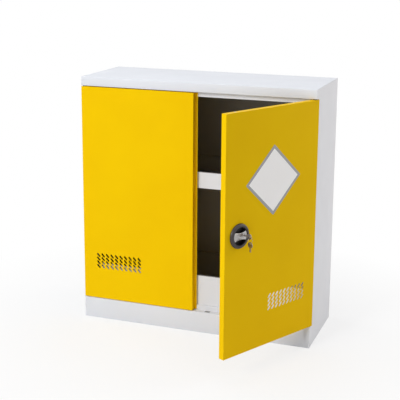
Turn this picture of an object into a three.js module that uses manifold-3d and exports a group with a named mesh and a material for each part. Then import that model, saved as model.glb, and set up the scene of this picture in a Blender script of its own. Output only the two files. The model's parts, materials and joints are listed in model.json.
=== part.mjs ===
// Low steel safety cabinet with two swing doors, a sump tray, a shelf tray and a turning handle that
// drives two locking rods through a pinion and two racks. Millimetres, +Z up. The origin is on the floor,
// under the middle of the plinth's front foot. The doors' front plane faces -Y.
import * as THREE from 'three';
import { mergeVertices } from 'three/addons/utils/BufferGeometryUtils.js';
import Module from 'manifold-3d';

const wasm = await Module();
wasm.setup();

// Overall sizes
const width = 950;
const depth = 350;
const height = 1000;

// Sheet metal
const sheet = 1.2;
const bendRadius = 1.2;
const bendSteps = 3;
const seam = 0.3;
const overrun = 5;
const mergeShare = 0.001;
const halfTurn = Math.PI;
const quarterTurn = Math.PI / 2;

// Body
const capHeight = 36;
const plinthHeight = 85;
const recess = 25.5;
const sideFlangeFront = 27;
const sideFlangeWidth = 28;
const stopEndInset = 30;
const stopDrop = 20;
const riserHeight = 18;
const floorRise = 19.7;
const floorFlange = 16;
const footWidth = 25;
const sideFootWidth = 20;
const backFootWidth = 20;
const weldFlange = 15;
const cornerRelief = 30;

// Shelf fittings
const uprightDepth = 25;
const uprightWidth = 28;
const uprightFrontY = 75;
const uprightRearInset = 90;
const uprightHeadroom = 60;
const slotStart = 136;
const slotPitch = 40;
const slotCount = 20;
const slotHeight = 12;
const slotWidth = 5;
const shelfSlot = 11;
const clipThickness = 4.4;
const clipReach = 14;
const clipTongue = 8;
const clipHookDrop = 16;
const clipHookWidth = 2.8;
const clipBrace = 20;
const clipNose = 4;

// Trays
const trayEndGap = 30;
const trayFront = 32;
const trayRearGap = 20;
const trayHem = 8;
const shelfRim = 63;
const sumpHeight = 121;

// Doors
const doorDepth = 22;
const doorGap = 3;
const meetingGap = 4;
const meetingShift = 1;
const doorLip = 14;
const stripGap = 1;
const stripReach = 10;
const hingeInset = 10;
const hingeDepth = 12;
const openAngle = THREE.MathUtils.degToRad(63);
const stiffenerInset = 185;
const stiffenerWidth = 30;
const stiffenerFoot = 13;
const stiffenerHeight = 16.5;
const stiffenerEndGap = 22;

// Door vents
const ventInset = 54;
const ventColumns = 10;
const ventRows = 4;
const ventPitchX = 20;
const ventPitchZ = 15.6;
const ventLowZ = 224;
const ventLength = 20.5;
const ventWidth = 7.2;
const ventTilt = THREE.MathUtils.degToRad(49);
const ventEndSteps = 3;

// Hinge pins and bushes
const pinRadius = 4;
const pinEngage = 9;
const pinHeadRadius = 7;
const pinHeadHeight = 2;
const bushWall = 2;
const bushCollarRadius = 8;
const bushCollarHeight = 2.2;
const bushBarrel = 6;
const roundSteps = 24;

// Lock mechanism
const handleX = 70;
const handleZ = 528;
const gearModule = 1.5;
const pinionTeeth = 12;
const pressureAngle = THREE.MathUtils.degToRad(25);
const gearBacklash = 0.35;
const addendumShare = 0.9;
const dedendumShare = 1.25;
const flankSteps = 4;
const rodThickness = 5;
const rodWidth = 6;
const rodDepth = 14.3;
const rodTipRise = 1;
const rodTipChamfer = 1.5;
const rackTeeth = 7;
const rackTail = 3;
const joggleStart = 38;
const joggleDrop = 30;
const keeperSlackWide = 5;
const keeperSlackDeep = 3;
const guideWall = 4;
const guideHeight = 14;
const caseWall = 1.5;
const caseHalfHeight = 29;
const caseFront = 9.3;
const caseDepth = 9;
const lockScrewOffset = 22;
const lockScrewRadius = 2;
const lockScrewHeadRadius = 4;
const lockScrewHeadHeight = 2;
const lockScrewBite = 2;
const spindleWidth = 6;
const spindleTail = 1.2;
const spindleScrewRadius = 1.5;
const spindleScrewHeadRadius = 5;
const spindleScrewHeadHeight = 1.8;
const spindleScrewLength = 8;

// Handle
const rosetteRadius = 45;
const rosetteCrestRadius = 39;
const rosetteCrest = 8.5;
const bowlRadius = 32.5;
const bowlFloor = 6;
const bowlFloorThickness = 3;
const bowlWall = 2;
const bowlCorner = 1.5;
const rosetteSteps = 40;
const gripLength = 62;
const gripEndWidth = 33;
const gripWaist = 24;
const gripFront = 7.5;
const gripBack = 3;
const gripBevel = 1.5;
const gripBevelSteps = 2;
const gripCurveSteps = 6;
const hubRadius = 9;
const cylinderOffset = 20;
const cylinderRadius = 8;
const cylinderProud = 0.8;
const plugRadius = 5.5;
const plugStudRadius = 2.5;
const camThickness = 1.6;
const camWidth = 7;
const camLength = 14;
const notchDepth = 2.6;

// Keys
const keyThickness = 2.2;
const bladeHeight = 6.4;
const bladeLength = 21;
const bladeShown = 10.3;
const bowRadius = 10.5;
const keyHoleRadius = 2.6;
const keyHoleInset = 4.6;
const bittingDepth = 1.4;
const bittingWidth = 2.4;
const bittingPitchShare = 1.5;
const bittingCount = 4;
const ringRadius = 10.5;
const ringWire = 0.8;
const ringDrop = 1.1;
const ringSteps = 28;
const ringSides = 8;

// Places worked out from the sizes above
const half = width / 2;
const innerHalf = half - sheet - seam;
const sideTop = height - sheet - seam;
const soffitZ = height - capHeight;
const backY = depth - 2 * sheet - seam;
const uprightRearY = depth - uprightRearInset;
const floorZ = plinthHeight + floorRise;
const doorBottom = plinthHeight + doorGap;
const doorTop = soffitZ - doorGap;
const hingeX = half - hingeInset;
const stopHalf = half - stopEndInset;
const uprightInnerX = half - sheet - seam - uprightDepth;
const shelfSeatZ = slotStart + shelfSlot * slotPitch + seam + clipTongue;
const shelfZ = shelfSeatZ + seam;
const pitchRadius = gearModule * pinionTeeth / 2;
const toothPitch = Math.PI * gearModule;
const rackAddendum = gearModule * addendumShare;
const rackDedendum = gearModule * dedendumShare;
const rodInner = pitchRadius + rackDedendum;
const rodOffset = rodInner + rodWidth / 2;
const rodBackY = rodDepth + rodThickness / 2;
const rodFrontY = rodDepth - rodThickness / 2;
const caseBack = caseFront + caseDepth;
const caseHalfWidth = rodInner + rodWidth + seam + caseWall + seam;
const leftInner = -(meetingGap - meetingShift);
const rightInner = meetingShift;
const rodX = handleX - rodOffset;
const bushRadius = pinRadius + seam + bushWall;

// Materials
function finish(name, color, roughness, metalness) {
  const material = new THREE.MeshStandardMaterial({ color, roughness, metalness });
  material.name = name;
  return material;
}
const lightGrey = finish('light_grey_powder_coat', 0xdcdde0, 0.45, 0);
const darkGrey = finish('dark_inner_coat', 0x37322b, 0.6, 0);
const yellow = finish('yellow_powder_coat', 0xf2c40e, 0.4, 0);
const zinc = finish('zinc_plated_steel', 0xb9bcc0, 0.35, 1);
const nylon = finish('black_nylon', 0x1c1c1e, 0.5, 0);
const blackMoulding = finish('black_moulding', 0x2c2829, 0.35, 0);
const chrome = finish('satin_chrome', 0xc4c2c0, 0.2, 1);
const nickel = finish('nickel_silver', 0xa99a82, 0.3, 1);

// Shapes and solids
function positionsOnly(geometry) {
  const bare = geometry.clone();
  bare.deleteAttribute('normal');
  bare.deleteAttribute('uv');
  return mergeVertices(bare, seam * mergeShare);
}

function signedVolume(geometry) {
  const p = geometry.attributes.position;
  const corner = [new THREE.Vector3(), new THREE.Vector3(), new THREE.Vector3()];
  let total = 0;
  for (let i = 0; i < geometry.index.count; i += 3) {
    corner.forEach((v, k) => v.fromBufferAttribute(p, geometry.index.getX(i + k)));
    total += corner[0].dot(corner[1].cross(corner[2])) / 6;
  }
  return total;
}

function turnedInsideOut(geometry) {
  const index = geometry.index.array;
  for (let i = 0; i < index.length; i += 3) {
    [index[i], index[i + 1]] = [index[i + 1], index[i]];
  }
  return geometry;
}

function faceOut(geometry) {
  const bare = positionsOnly(geometry);
  return signedVolume(bare) < 0 ? turnedInsideOut(bare) : bare;
}

function toSolid(geometry) {
  const bare = faceOut(geometry);
  return new wasm.Manifold(new wasm.Mesh({
    numProp: 3,
    vertProperties: Float32Array.from(bare.attributes.position.array),
    triVerts: Uint32Array.from(bare.index.array),
  }));
}

function toGeometry(solid) {
  const mesh = solid.getMesh();
  const geometry = new THREE.BufferGeometry();
  geometry.setAttribute('position', new THREE.BufferAttribute(Float32Array.from(mesh.vertProperties), 3));
  geometry.setIndex(new THREE.BufferAttribute(Uint32Array.from(mesh.triVerts), 1));
  return geometry;
}

function joined(...geometries) {
  return toGeometry(geometries.map(toSolid).reduce((a, b) => a.add(b)));
}

function cut(geometry, ...tools) {
  return toGeometry(tools.map(toSolid).reduce((a, b) => a.subtract(b), toSolid(geometry)));
}

function mirrored(geometry) {
  return turnedInsideOut(geometry.clone().applyMatrix4(new THREE.Matrix4().makeScale(-1, 1, 1)));
}

function block(x0, x1, y0, y1, z0, z1) {
  const geometry = new THREE.BoxGeometry(x1 - x0, y1 - y0, z1 - z0);
  geometry.translate((x0 + x1) / 2, (y0 + y1) / 2, (z0 + z1) / 2);
  return faceOut(geometry);
}

function extruded(shape, length, xAxis, yAxis, start) {
  const geometry = new THREE.ExtrudeGeometry(shape, { depth: length, bevelEnabled: false });
  const zAxis = new THREE.Vector3().crossVectors(xAxis, yAxis);
  const place = new THREE.Matrix4().makeBasis(xAxis, yAxis, zAxis);
  place.setPosition(zAxis.clone().multiplyScalar(start));
  return faceOut(geometry.applyMatrix4(place));
}

const axisX = new THREE.Vector3(1, 0, 0);
const axisY = new THREE.Vector3(0, 1, 0);
const axisZ = new THREE.Vector3(0, 0, 1);

function alongX(shape, x0, x1) {
  return extruded(shape, x1 - x0, axisY, axisZ, x0);
}

function alongY(shape, y0, y1) {
  return extruded(shape, y1 - y0, axisX, axisZ, -y1);
}

function alongZ(shape, z0, z1) {
  return extruded(shape, z1 - z0, axisX, axisY, z0);
}

function outline(points) {
  return new THREE.Shape(points.map(([u, v]) => new THREE.Vector2(u, v)));
}

function rod(radius, y0, y1, x, z, steps = roundSteps) {
  const geometry = new THREE.CylinderGeometry(radius, radius, y1 - y0, steps);
  return faceOut(geometry.translate(x, (y0 + y1) / 2, z));
}

function post(radius, z0, z1, x, y, steps = roundSteps) {
  const geometry = new THREE.CylinderGeometry(radius, radius, z1 - z0, steps);
  return faceOut(geometry.rotateX(quarterTurn).translate(x, y, (z0 + z1) / 2));
}

// A bend's corner as a short arc that leaves and joins the two straight stretches square
function bendPoints(before, corner, after, radius) {
  const back = before.clone().sub(corner).normalize();
  const ahead = after.clone().sub(corner).normalize();
  const reach = radius / Math.tan(back.angleTo(ahead) / 2);
  const middle = back.clone().add(ahead).normalize().multiplyScalar(Math.hypot(radius, reach)).add(corner);
  const start = corner.clone().addScaledVector(back, reach).sub(middle);
  const turn = Math.sign(start.cross(corner.clone().addScaledVector(ahead, reach).sub(middle)));
  const sweep = turn * (halfTurn - back.angleTo(ahead));
  const centre = new THREE.Vector2();
  return Array.from({ length: bendSteps + 1 }, (_, i) =>
    start.clone().rotateAround(centre, sweep * i / bendSteps).add(middle));
}

// The section of a folded sheet: the given line is one face, and the sheet lies on the line's left
function folded(points, thickness = sheet) {
  const line = points.map(([u, v]) => new THREE.Vector2(u, v));
  const face = [line[0]];
  for (let i = 1; i < line.length - 1; i += 1) {
    const turn = line[i].clone().sub(line[i - 1]).cross(line[i + 1].clone().sub(line[i]));
    const radius = turn > 0 ? bendRadius + thickness : bendRadius;
    face.push(...bendPoints(line[i - 1], line[i], line[i + 1], radius));
  }
  face.push(line[line.length - 1]);
  const otherFace = face.map((point, i) => {
    const before = face[Math.max(i - 1, 0)];
    const after = face[Math.min(i + 1, face.length - 1)];
    const inward = i > 0 ? point.clone().sub(before).normalize() : after.clone().sub(point).normalize();
    const onward = i < face.length - 1 ? after.clone().sub(point).normalize() : inward;
    const mitre = inward.clone().add(onward).normalize();
    const stretch = thickness / mitre.dot(onward);
    return new THREE.Vector2(-mitre.y, mitre.x).multiplyScalar(stretch).add(point);
  });
  return new THREE.Shape([...face, ...otherFace.reverse()]);
}

// An open pan of sheet with its rims folded inwards by the hem
function pan(low, high, openAxis, hem) {
  const inside = [low, high].map((corner, end) => corner.map((v) => v + (end ? -sheet : sheet)));
  const mouth = [low, high].map((corner, end) => corner.map((v) => v + (end ? -1 : 1) * (sheet + hem)));
  mouth[0][openAxis] = inside[1][openAxis] - sheet;
  mouth[1][openAxis] = high[openAxis] + overrun;
  const solids = [[low, high], inside, mouth].map(([a, b]) => block(a[0], b[0], a[1], b[1], a[2], b[2]));
  return cut(...solids);
}

function revolved(profile, steps) {
  const points = profile.map(([r, y]) => new THREE.Vector2(r, y));
  return faceOut(new THREE.LatheGeometry([...points, points[0]], steps));
}

// Assembly
const cabinet = new THREE.Group();
cabinet.position.y = -footWidth / 2;
const root = new THREE.Group();
root.add(cabinet);

function doorGroup(side, angle) {
  const hinge = new THREE.Group();
  hinge.position.set(side * hingeX, hingeDepth, 0);
  hinge.rotation.z = angle;
  const closedPlace = new THREE.Group();
  closedPlace.position.set(-side * hingeX, -hingeDepth, 0);
  hinge.add(closedPlace);
  cabinet.add(hinge);
  return closedPlace;
}
const leftDoor = doorGroup(-1, 0);
const rightDoor = doorGroup(1, openAngle);

function place(group, name, geometry, material) {
  const mesh = new THREE.Mesh(geometry, material);
  mesh.name = name;
  group.add(mesh);
  return mesh;
}

// Body panels
function sideSheet() {
  const frontY = sheet + seam;
  return alongX(outline([
    [frontY, 0], [depth, 0], [depth, sideTop], [frontY, sideTop], [frontY, soffitZ],
    [sideFlangeFront, soffitZ], [sideFlangeFront, plinthHeight], [frontY, plinthHeight],
  ]), half - sheet, half);
}

function sidePanel() {
  const flangeBack = sideFlangeFront + sheet;
  const outer = half - sheet / 2;
  return joined(
    sideSheet(),
    block(half - sideFlangeWidth, outer, sideFlangeFront, flangeBack, plinthHeight, soffitZ),
    block(half - sideFootWidth, outer, depth - sheet, depth, 0, sideTop),
    block(half - sideFootWidth, outer, cornerRelief, depth - cornerRelief, 0, sheet),
    block(half - weldFlange, outer, cornerRelief, depth - cornerRelief, sideTop - sheet, sideTop),
  );
}

function backPanel() {
  const rear = backY + sheet;
  const section = folded([
    [rear - backFootWidth, 0], [rear, 0], [rear, sideTop], [rear - weldFlange, sideTop],
  ]);
  return alongX(section, -innerHalf, innerHalf);
}

function pinHoles(z) {
  return [-hingeX, hingeX].map((x) => post(pinRadius + seam, z - overrun, z + overrun, x, hingeDepth));
}

function keeperSlot(z) {
  const reachX = rodWidth / 2 + keeperSlackWide;
  const reachY = rodThickness / 2 + keeperSlackDeep;
  return block(rodX - reachX, rodX + reachX, rodDepth - reachY, rodDepth + reachY, z - overrun, z + overrun);
}

function endNotches(fromX, fromY, z0, z1) {
  const right = block(fromX, half + overrun, fromY, depth + overrun, z0, z1);
  return [right, mirrored(right)];
}

function topPanel() {
  const section = folded([
    [depth, height], [0, height], [0, soffitZ], [recess, soffitZ], [recess, soffitZ - stopDrop],
  ]);
  return cut(
    alongX(section, -half, half),
    ...endNotches(innerHalf, sheet, soffitZ - overrun, height - sheet),
    ...endNotches(stopHalf, -overrun, soffitZ - stopDrop - overrun, soffitZ - seam / 2),
    ...pinHoles(soffitZ),
    keeperSlot(soffitZ),
  );
}

function plinthFront() {
  const section = folded([
    [recess, plinthHeight + riserHeight], [recess, plinthHeight], [0, plinthHeight], [0, 0], [footWidth, 0],
  ]);
  return cut(
    alongX(section, -half, half),
    ...endNotches(innerHalf, sheet, -overrun, plinthHeight + overrun),
    ...endNotches(stopHalf, -overrun, plinthHeight + seam / 2, plinthHeight + riserHeight + overrun),
    ...pinHoles(plinthHeight),
    keeperSlot(plinthHeight),
  );
}

function floorPanel() {
  const frontY = recess + sheet + seam;
  const rearY = backY - seam;
  const section = folded([
    [rearY, floorZ - floorFlange], [rearY, floorZ], [frontY, floorZ], [frontY, floorZ - floorFlange],
  ]);
  const notchX = half - sideFlangeWidth - seam;
  const notchY = sideFlangeFront + sheet + seam;
  const corner = block(notchX, half + overrun, 0, notchY, 0, floorZ + overrun);
  return cut(alongX(section, -innerHalf, innerHalf), corner, mirrored(corner));
}

// Shelf fittings on the right; the left ones are their mirror images
function upright(frontY) {
  const section = folded([
    [innerHalf, frontY + uprightWidth], [uprightInnerX, frontY + uprightWidth],
    [uprightInnerX, frontY], [innerHalf, frontY],
  ]);
  const slots = Array.from({ length: slotCount }, (_, i) => {
    const z = slotStart + i * slotPitch;
    const middle = frontY + uprightWidth / 2;
    const slotHalf = slotWidth / 2;
    const throughX = uprightInnerX + sheet + bendRadius;
    return block(uprightInnerX - overrun, throughX, middle - slotHalf, middle + slotHalf, z, z + slotHeight);
  });
  return cut(alongZ(section, floorZ + seam, height - uprightHeadroom), ...slots);
}

function shelfClip(frontY) {
  const faceX = uprightInnerX - seam;
  const hookX = uprightInnerX + sheet + seam;
  const top = shelfSeatZ;
  const section = outline([
    [faceX - clipReach, top - clipNose], [faceX, top - clipBrace], [faceX, top - clipTongue],
    [hookX, top - clipTongue], [hookX, top - clipHookDrop], [hookX + clipHookWidth, top - clipHookDrop],
    [hookX + clipHookWidth, top], [faceX - clipReach, top],
  ]);
  const middle = frontY + uprightWidth / 2;
  return alongY(section, middle - clipThickness / 2, middle + clipThickness / 2);
}

function tray(z0, rim) {
  const endX = half - trayEndGap;
  return pan([-endX, trayFront, z0], [endX, depth - trayRearGap, z0 + rim], 2, trayHem);
}

// Hinge hardware on the right; a pin stands in the body and turns in a bush in the door
function hingePin(plateZ, towardsDoor) {
  const tip = plateZ + towardsDoor * (doorGap + pinEngage);
  const insideFace = plateZ - towardsDoor * (sheet + seam);
  const headEnd = insideFace - towardsDoor * pinHeadHeight;
  const shank = post(pinRadius, Math.min(tip, insideFace - towardsDoor * seam),
    Math.max(tip, insideFace - towardsDoor * seam), hingeX, hingeDepth);
  const head = post(pinHeadRadius, Math.min(insideFace, headEnd), Math.max(insideFace, headEnd),
    hingeX, hingeDepth);
  return joined(shank, head);
}

function hingeBush(doorEdgeZ, intoDoor) {
  const collarNear = doorEdgeZ - intoDoor * seam;
  const collarFar = collarNear - intoDoor * bushCollarHeight;
  const barrelEnd = doorEdgeZ + intoDoor * bushBarrel;
  const collar = post(bushCollarRadius, Math.min(collarNear, collarFar), Math.max(collarNear, collarFar),
    hingeX, hingeDepth);
  const barrel = post(bushRadius, Math.min(collarFar, barrelEnd), Math.max(collarFar, barrelEnd),
    hingeX, hingeDepth);
  const bore = post(pinRadius + seam, Math.min(collarFar, barrelEnd) - overrun,
    Math.max(collarFar, barrelEnd) + overrun, hingeX, hingeDepth);
  return cut(joined(collar, barrel), bore);
}

// Doors
function ventShape() {
  const straight = (ventLength - ventWidth) / 2;
  const points = [];
  [1, -1].forEach((end) => {
    for (let i = 0; i <= ventEndSteps; i += 1) {
      const angle = ventTilt - quarterTurn + halfTurn * i / ventEndSteps + (end < 0 ? halfTurn : 0);
      points.push([
        end * straight * Math.cos(ventTilt) + ventWidth / 2 * Math.cos(angle),
        end * straight * Math.sin(ventTilt) + ventWidth / 2 * Math.sin(angle),
      ]);
    }
  });
  return points;
}

// The vents of the right door, tilted like a slash; the left door's are the mirror image
function ventCutters() {
  const shape = ventShape();
  const cutters = [];
  for (let column = 0; column < ventColumns; column += 1) {
    for (let row = 0; row < ventRows; row += 1) {
      const x = half - ventInset - ventPitchX / 2 - column * ventPitchX;
      const z = ventLowZ + row * ventPitchZ;
      const moved = shape.map(([u, v]) => [u + x, v + z]);
      cutters.push(alongY(outline(moved), -overrun, overrun));
    }
  }
  return cutters;
}

function doorPan(innerX) {
  return pan([innerX, 0, doorBottom], [half, doorDepth, doorTop], 1, doorLip);
}

function bushHoles() {
  return [doorBottom, doorTop].map((z) =>
    post(bushRadius + seam, z - overrun, z + overrun, hingeX, hingeDepth));
}

function rodHole(z) {
  const reachX = rodWidth / 2 + seam;
  const reachY = rodThickness / 2 + seam;
  return block(rodX - reachX, rodX + reachX, rodDepth - reachY, rodDepth + reachY, z - overrun, z + overrun);
}

function rightDoorPanel() {
  return cut(
    doorPan(rightInner),
    ...ventCutters(),
    ...bushHoles(),
    rod(bowlRadius + bowlWall + seam, -overrun, overrun, handleX, handleZ, rosetteSteps),
    rodHole(doorBottom),
    rodHole(doorTop),
  );
}

function leftDoorPanel() {
  const body = mirrored(cut(doorPan(-leftInner), ...ventCutters(), ...bushHoles()));
  const lipBack = doorDepth + stripGap + sheet;
  const edge = block(leftInner - sheet, leftInner, doorDepth - sheet, lipBack, doorBottom, doorTop);
  const lip = block(leftInner - sheet / 2, leftInner + stripReach, doorDepth + stripGap, lipBack,
    doorBottom, doorTop);
  return joined(body, edge, lip);
}

function doorStiffener() {
  const centre = stiffenerInset;
  const webLeft = centre - stiffenerWidth / 2;
  const webRight = centre + stiffenerWidth / 2;
  const faceY = sheet + seam;
  const section = folded([
    [webLeft - stiffenerFoot, faceY], [webLeft, faceY], [webLeft, faceY + stiffenerHeight],
    [webRight, faceY + stiffenerHeight], [webRight, faceY], [webRight + stiffenerFoot, faceY],
  ]);
  return alongZ(section, doorBottom + stiffenerEndGap, doorTop - stiffenerEndGap);
}

// Lock: the pinion's involute flanks and the straight flanks of its two racks
function pinionShape() {
  const baseRadius = pitchRadius * Math.cos(pressureAngle);
  const outerRadius = pitchRadius + rackAddendum;
  const rootRadius = pitchRadius - rackDedendum;
  const involute = (radius) => {
    const spread = Math.sqrt(Math.max((radius / baseRadius) ** 2 - 1, 0));
    return spread - Math.atan(spread);
  };
  const halfTooth = (toothPitch / 2 - gearBacklash / 2) / 2 / pitchRadius;
  const points = [];
  for (let tooth = 0; tooth < pinionTeeth; tooth += 1) {
    const centre = 2 * halfTurn * tooth / pinionTeeth;
    const flank = Array.from({ length: flankSteps + 1 }, (_, i) => {
      const radius = baseRadius + (outerRadius - baseRadius) * i / flankSteps;
      return [radius, halfTooth + involute(pitchRadius) - involute(radius)];
    });
    const rootHalf = flank[0][1];
    const polar = [[rootRadius, -rootHalf], ...flank.map(([r, a]) => [r, -a]),
      ...flank.reverse(), [rootRadius, rootHalf]];
    polar.forEach(([r, a]) => points.push([r * Math.cos(centre + a), r * Math.sin(centre + a)]));
  }
  return points;
}

function drivePinion() {
  const shape = pinionShape().map(([u, v]) => [u + handleX, v + handleZ]);
  const holeHalf = spindleWidth / 2 + seam;
  return cut(
    alongY(outline(shape), rodFrontY, rodBackY),
    block(handleX - holeHalf, handleX + holeHalf, rodFrontY - overrun, rodBackY + overrun,
      handleZ - holeHalf, handleZ + holeHalf),
  );
}

// Rack flanks along z, counted from the handle's axis; a gap faces the axis at rest
function rackLine(lowTooth, towardsAxis) {
  const tipX = towardsAxis * rackAddendum;
  const rootX = -towardsAxis * rackDedendum;
  const halfAtPitch = (toothPitch / 2 - gearBacklash / 2) / 2;
  const tipHalf = halfAtPitch - rackAddendum * Math.tan(pressureAngle);
  const rootHalf = halfAtPitch + rackDedendum * Math.tan(pressureAngle);
  const points = [];
  for (let i = 0; i < rackTeeth; i += 1) {
    const z = (lowTooth + i + 1 / 2) * toothPitch;
    points.push([rootX, z - rootHalf], [tipX, z - tipHalf], [tipX, z + tipHalf], [rootX, z + rootHalf]);
  }
  return points;
}

function topRod() {
  const lowTooth = -(rackTeeth - 2);
  const teeth = rackLine(lowTooth, 1).map(([u, v]) => [handleX - pitchRadius + u, handleZ + v]);
  const innerX = handleX - rodInner;
  const outerX = innerX - rodWidth;
  const tip = doorTop + rodTipRise;
  const tail = handleZ + lowTooth * toothPitch - rackTail;
  return alongY(outline([
    [outerX, tail], [innerX, tail], ...teeth, [innerX, tip - rodTipChamfer],
    [innerX - rodTipChamfer, tip], [outerX + rodTipChamfer, tip], [outerX, tip - rodTipChamfer],
  ]), rodFrontY, rodBackY);
}

function bottomRod() {
  const lowTooth = -2;
  const teeth = rackLine(lowTooth, -1).map(([u, v]) => [handleX + pitchRadius + u, handleZ + v]);
  const innerX = handleX + rodInner;
  const outerX = innerX + rodWidth;
  const footInner = handleX - rodInner;
  const footOuter = footInner - rodWidth;
  const tip = doorBottom - rodTipRise;
  const head = handleZ + (lowTooth + rackTeeth) * toothPitch + rackTail;
  const bendTop = handleZ - joggleStart;
  const bendLow = bendTop - joggleDrop;
  return alongY(outline([
    [outerX, head], [innerX, head], ...teeth.reverse(), [innerX, bendTop],
    [footOuter, bendLow], [footOuter, tip + rodTipChamfer], [footOuter + rodTipChamfer, tip],
    [footInner - rodTipChamfer, tip], [footInner, tip + rodTipChamfer], [footInner, bendLow - rodWidth / 2],
    [outerX, bendTop - rodWidth / 2],
  ]), rodFrontY, rodBackY);
}

function rodGuide(z0, z1) {
  const reachX = rodWidth / 2 + seam;
  const reachY = rodThickness / 2 + seam;
  const outerX = reachX + guideWall;
  return cut(
    block(rodX - outerX, rodX + outerX, sheet + seam, doorDepth - sheet - seam, z0, z1),
    block(rodX - reachX, rodX + reachX, rodDepth - reachY, rodDepth + reachY, z0 - overrun, z1 + overrun),
  );
}

function lockCase() {
  const low = [handleX - caseHalfWidth, caseFront, handleZ - caseHalfHeight];
  const high = [handleX + caseHalfWidth, caseBack, handleZ + caseHalfHeight];
  const inner = block(low[0] + caseWall, high[0] - caseWall, caseFront + caseWall, caseBack + overrun,
    low[2] + caseWall, high[2] - caseWall);
  const rodSlot = (side) => {
    const reach = rodWidth / 2 + seam;
    const x = handleX + side * rodOffset;
    const [z0, z1] = side < 0 ? [handleZ, high[2] + overrun] : [low[2] - overrun, handleZ];
    return block(x - reach, x + reach, caseFront + caseWall, caseBack + overrun, z0, z1);
  };
  return cut(
    block(low[0], high[0], low[1], high[1], low[2], high[2]),
    inner,
    rod(hubRadius + seam, caseFront - overrun, caseFront + overrun, handleX, handleZ),
    rodSlot(-1),
    rodSlot(1),
    ...lockScrewHoles(),
  );
}

function lockScrewHoles() {
  return [-lockScrewOffset, lockScrewOffset].map((dz) =>
    rod(lockScrewRadius + seam, bowlFloor + bowlFloorThickness - lockScrewBite - seam, caseBack + overrun,
      handleX, handleZ + dz));
}

function lockCover() {
  const y0 = caseBack + seam;
  return cut(
    block(handleX - caseHalfWidth, handleX + caseHalfWidth, y0, y0 + caseWall,
      handleZ - caseHalfHeight, handleZ + caseHalfHeight),
    ...lockScrewHoles(),
    rod(Math.SQRT1_2 * spindleWidth + seam, y0 - overrun, y0 + overrun, handleX, handleZ),
  );
}

function lockScrew(dz) {
  const headFront = caseBack + seam + caseWall + seam;
  const tip = bowlFloor + bowlFloorThickness - lockScrewBite;
  return joined(
    rod(lockScrewRadius, tip, headFront + seam, handleX, handleZ + dz),
    rod(lockScrewHeadRadius, headFront, headFront + lockScrewHeadHeight, handleX, handleZ + dz),
  );
}

function handleSpindle() {
  const back = caseBack + seam + caseWall + spindleTail;
  const halfWidth = spindleWidth / 2;
  return cut(
    block(handleX - halfWidth, handleX + halfWidth, seam, back, handleZ - halfWidth, handleZ + halfWidth),
    rod(spindleScrewRadius + seam, back - spindleScrewLength - seam, back + overrun, handleX, handleZ),
  );
}

function spindleScrew() {
  const back = caseBack + seam + caseWall + spindleTail;
  return joined(
    rod(spindleScrewRadius, back - spindleScrewLength, back + spindleScrewHeadHeight, handleX, handleZ),
    rod(spindleScrewHeadRadius, back + seam, back + seam + spindleScrewHeadHeight, handleX, handleZ),
  );
}

// Handle: a dished rosette, and a bow-tie grip that turns in it
function notchCutter() {
  const reach = bowlRadius + notchDepth;
  const y1 = bowlFloor - seam / 2;
  const y0 = gripBack;
  return block(bowlRadius - camLength, reach, y0, y1, -camLength, camWidth / 2 + seam);
}

function handleRosette() {
  const barrel = bowlRadius + bowlWall;
  const rearY = bowlFloor + bowlFloorThickness;
  const profile = [
    [hubRadius + seam, bowlFloor], [bowlRadius - bowlCorner, bowlFloor],
    [bowlRadius, bowlFloor - bowlCorner], [bowlRadius, -rosetteCrest + bowlCorner],
    [bowlRadius + bowlCorner, -rosetteCrest], [rosetteCrestRadius, -rosetteCrest],
    [rosetteRadius - bowlCorner, -rosetteCrest / 2], [rosetteRadius, -seam],
    [barrel, -seam], [barrel, rearY], [hubRadius + seam, rearY],
  ];
  const dish = revolved(profile, rosetteSteps);
  const notch = notchCutter();
  const turnedNotch = notch.clone().rotateY(quarterTurn);
  const body = cut(dish, notch, turnedNotch).translate(handleX, 0, handleZ);
  return cut(body, ...lockScrewHoles());
}

function gripShape() {
  const shape = new THREE.Shape();
  const radius = gripLength / 2;
  const endAngle = Math.asin(gripEndWidth / 2 / radius);
  const endX = radius * Math.cos(endAngle);
  const control = gripWaist - gripEndWidth / 2;
  shape.absarc(0, 0, radius, -endAngle, endAngle, false);
  shape.quadraticCurveTo(0, control, -endX, gripEndWidth / 2);
  shape.absarc(0, 0, radius, halfTurn - endAngle, halfTurn + endAngle, false);
  shape.quadraticCurveTo(0, -control, endX, -gripEndWidth / 2);
  return shape;
}

function handleGrip() {
  const thickness = gripFront + gripBack;
  const bar = new THREE.ExtrudeGeometry(gripShape(), {
    depth: thickness - 2 * gripBevel,
    bevelThickness: gripBevel,
    bevelSize: gripBevel,
    bevelOffset: -gripBevel,
    bevelSegments: gripBevelSteps,
    curveSegments: gripCurveSteps,
  });
  bar.rotateX(quarterTurn).translate(handleX, gripBack - gripBevel, handleZ);
  const hubEnd = rodFrontY - seam;
  const socket = spindleWidth / 2 + seam;
  return cut(
    joined(bar, rod(hubRadius, gripBack - overrun, hubEnd, handleX, handleZ)),
    block(handleX - socket, handleX + socket, 0, hubEnd + overrun, handleZ - socket, handleZ + socket),
    rod(cylinderRadius + seam, -gripFront - overrun, gripBack + overrun, handleX + cylinderOffset, handleZ),
  );
}

// Cylinder lock in the grip's end, with its plug, cam and keys
const cylinderX = handleX + cylinderOffset;
const cylinderFace = -gripFront - cylinderProud;

function lockCylinder() {
  return cut(
    rod(cylinderRadius, cylinderFace, gripBack, cylinderX, handleZ),
    rod(plugRadius + seam, cylinderFace - overrun, gripBack + overrun, cylinderX, handleZ),
  );
}

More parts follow.
